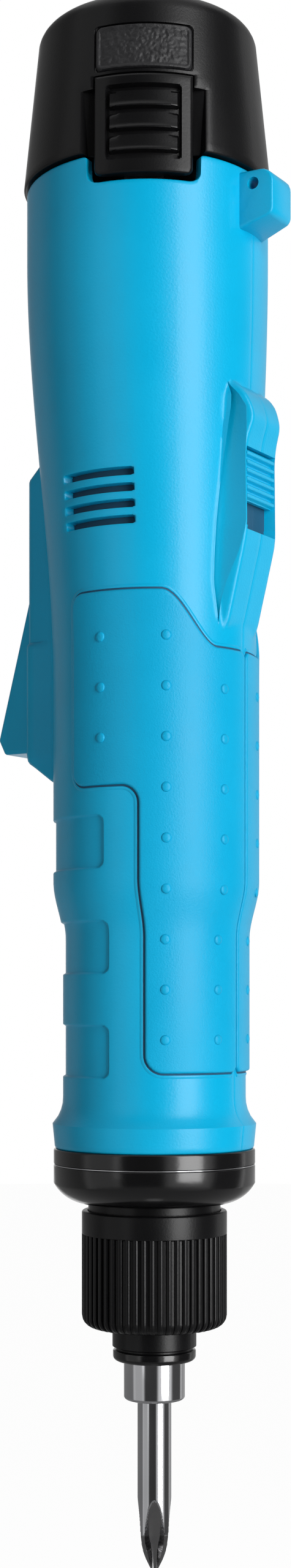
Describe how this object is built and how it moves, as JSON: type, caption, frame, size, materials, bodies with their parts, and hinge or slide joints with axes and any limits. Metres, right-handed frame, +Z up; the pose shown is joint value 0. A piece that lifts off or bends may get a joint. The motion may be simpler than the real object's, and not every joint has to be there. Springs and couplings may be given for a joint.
{
  "type": "cordless in-line electric screwdriver",
  "caption": "Slim battery screwdriver with a start lever, direction slider, torque collar, push-sleeve bit chuck, planetary gear train, motor and a latched slide-out battery.",
  "frame": {"origin": "the tip of the bit, on the spindle axis", "axes": "+Z up the spindle axis to the battery, +X to the back with the hanging lug and direction slider, -X to the start lever"},
  "size_m": [0.0596, 0.0464, 0.286],
  "materials": {
    "blue_plastic": "satin",
    "soft_grip": "matte",
    "black_plastic": "satin",
    "lever_plastic": "satin",
    "grain_pad": "grained",
    "polished_steel": "polished",
    "spring_steel": "drawn",
    "gear_steel": "machined",
    "bearing_bronze": "sintered",
    "contact_brass": "plain",
    "board_green": "lacquered",
    "board_black": "moulded",
    "cell_wrap": "wrapped"
  },
  "bodies": {
    "tool": {"housing_left": "blue_plastic", "housing_right": "blue_plastic", "grip_left": "soft_grip", "grip_right": "soft_grip", "housing_screws": "polished_steel", "hang_lug": "blue_plastic", "nose_flange": "black_plastic", "nose_cap": "black_plastic", "neck": "black_plastic", "lip_ring": "black_plastic", "spring_seat": "spring_steel", "clutch_ring": "gear_steel", "rear_ring": "gear_steel", "spindle_bush_lower": "bearing_bronze", "spindle_bush_upper": "bearing_bronze", "motor_plate": "gear_steel", "motor_can": "gear_steel", "motor_end_cap": "black_plastic", "motor_bearings": "bearing_bronze", "motor_stator": "gear_steel", "lever_pin": "polished_steel", "lever_spring": "spring_steel", "start_switch": "black_plastic", "direction_switch": "black_plastic", "control_board": "board_green", "board_parts": "board_black", "terminal_block": "black_plastic", "terminal_blades": "contact_brass", "clutch_spring": "spring_steel"},
    "thrust": {"thrust_washer": "spring_steel"},
    "collar": {"torque_collar": "black_plastic"},
    "spindle": {"spindle": "polished_steel", "screwdriver_bit": "polished_steel", "sleeve_clip": "polished_steel", "lock_balls": "polished_steel", "output_carrier": "gear_steel", "sleeve_spring": "spring_steel"},
    "sleeve": {"bit_lock_sleeve": "polished_steel"},
    "output_planet_a": {"output_planet_a": "gear_steel"},
    "output_planet_b": {"output_planet_b": "gear_steel"},
    "output_planet_c": {"output_planet_c": "gear_steel"},
    "first_carrier": {"first_carrier": "gear_steel"},
    "first_planet_a": {"first_planet_a": "gear_steel"},
    "first_planet_b": {"first_planet_b": "gear_steel"},
    "first_planet_c": {"first_planet_c": "gear_steel"},
    "rotor": {"motor_shaft": "polished_steel", "motor_magnet": "gear_steel"},
    "lever": {"start_lever": "blue_plastic"},
    "plunger": {"switch_plunger": "lever_plastic"},
    "slider": {"direction_slider": "blue_plastic"},
    "battery": {"battery_cap": "black_plastic", "battery_stem": "black_plastic", "battery_cells": "cell_wrap", "battery_pads": "grain_pad", "latch_pins": "polished_steel", "latch_spring_left": "spring_steel", "latch_spring_right": "spring_steel"},
    "latch_left": {"latch_left": "black_plastic"},
    "latch_right": {"latch_right": "black_plastic"}
  },
  "joints": [
    {"name": "spindle_spin", "type": "hinge", "parent": "tool", "child": "spindle", "pos_m": [0, 0, 0.052], "axis": [0, 0, 1], "continuous": true},
    {"name": "sleeve_slide", "type": "slide", "parent": "spindle", "child": "sleeve", "axis": [0, 0, 1], "range_m": [0, 0.0025], "stiffness_N_per_m": 600, "deforming": ["sleeve_spring"]},
    {"name": "output_planet_a_spin", "type": "hinge", "parent": "spindle", "child": "output_planet_a", "pos_m": [0.0081, 0, 0.0797], "axis": [0, 0, 1], "continuous": true},
    {"name": "output_planet_b_spin", "type": "hinge", "parent": "spindle", "child": "output_planet_b", "pos_m": [-0.00405, 0.00701, 0.0797], "axis": [0, 0, 1], "continuous": true},
    {"name": "output_planet_c_spin", "type": "hinge", "parent": "spindle", "child": "output_planet_c", "pos_m": [-0.00405, -0.00701, 0.0797], "axis": [0, 0, 1], "continuous": true},
    {"name": "first_carrier_spin", "type": "hinge", "parent": "tool", "child": "first_carrier", "pos_m": [0, 0, 0.086], "axis": [0, 0, 1], "continuous": true},
    {"name": "first_planet_a_spin", "type": "hinge", "parent": "first_carrier", "child": "first_planet_a", "pos_m": [0.0081, 0, 0.0913], "axis": [0, 0, 1], "continuous": true},
    {"name": "first_planet_b_spin", "type": "hinge", "parent": "first_carrier", "child": "first_planet_b", "pos_m": [-0.00405, 0.00701, 0.0913], "axis": [0, 0, 1], "continuous": true},
    {"name": "first_planet_c_spin", "type": "hinge", "parent": "first_carrier", "child": "first_planet_c", "pos_m": [-0.00405, -0.00701, 0.0913], "axis": [0, 0, 1], "continuous": true},
    {"name": "rotor_spin", "type": "hinge", "parent": "tool", "child": "rotor", "pos_m": [0, 0, 0.12], "axis": [0, 0, 1], "continuous": true},
    {"name": "thrust_feed", "type": "slide", "parent": "tool", "child": "thrust", "axis": [0, 0, 1], "range_m": [-0.003, 0.001], "deforming": ["clutch_spring"]},
    {"name": "collar_turn", "type": "hinge", "parent": "thrust", "child": "collar", "pos_m": [0, 0, 0.055], "axis": [0, 0, 1], "range_deg": [-720.5, 240.5]},
    {"name": "lever_press", "type": "hinge", "parent": "tool", "child": "lever", "pos_m": [-0.0206, 0, 0.1834], "axis": [0, -1, 0], "range_deg": [0, 10], "stiffness_Nm_per_rad": 0.1, "deforming": ["lever_spring"]},
    {"name": "plunger_slide", "type": "slide", "parent": "tool", "child": "plunger", "axis": [1, 0, 0], "range_m": [0, 0.0036]},
    {"name": "direction_slide", "type": "slide", "parent": "tool", "child": "slider", "axis": [0, 0, -1], "range_m": [0, 0.005]},
    {"name": "battery_slide", "type": "slide", "parent": "tool", "child": "battery", "axis": [0, 0, 1], "range_m": [0, 0.075], "deforming": ["latch_spring_left", "latch_spring_right"]},
    {"name": "latch_left_press", "type": "hinge", "parent": "battery", "child": "latch_left", "pos_m": [0.0074, -0.01542, 0.2681], "axis": [0.866, 0.5, 0], "range_deg": [0, 4], "stiffness_Nm_per_rad": 0.05},
    {"name": "latch_right_press", "type": "hinge", "parent": "battery", "child": "latch_right", "pos_m": [0.0074, 0.01542, 0.2681], "axis": [-0.866, 0.5, 0], "range_deg": [0, 4], "stiffness_Nm_per_rad": 0.05}
  ],
  "couplings": [
    {"joint": "output_planet_a_spin", "follows": "spindle_spin", "ratio": -2.8},
    {"joint": "output_planet_b_spin", "follows": "spindle_spin", "ratio": -2.8},
    {"joint": "output_planet_c_spin", "follows": "spindle_spin", "ratio": -2.8},
    {"joint": "first_carrier_spin", "follows": "spindle_spin", "ratio": 4.5},
    {"joint": "first_planet_a_spin", "follows": "spindle_spin", "ratio": -12.6},
    {"joint": "first_planet_b_spin", "follows": "spindle_spin", "ratio": -12.6},
    {"joint": "first_planet_c_spin", "follows": "spindle_spin", "ratio": -12.6},
    {"joint": "rotor_spin", "follows": "spindle_spin", "ratio": 20.25},
    {"joint": "collar_turn", "follows": "thrust_feed", "rad_per_m": 4188.8},
    {"joint": "plunger_slide", "follows": "lever_press", "m_per_rad": 0.0205}
  ]
}
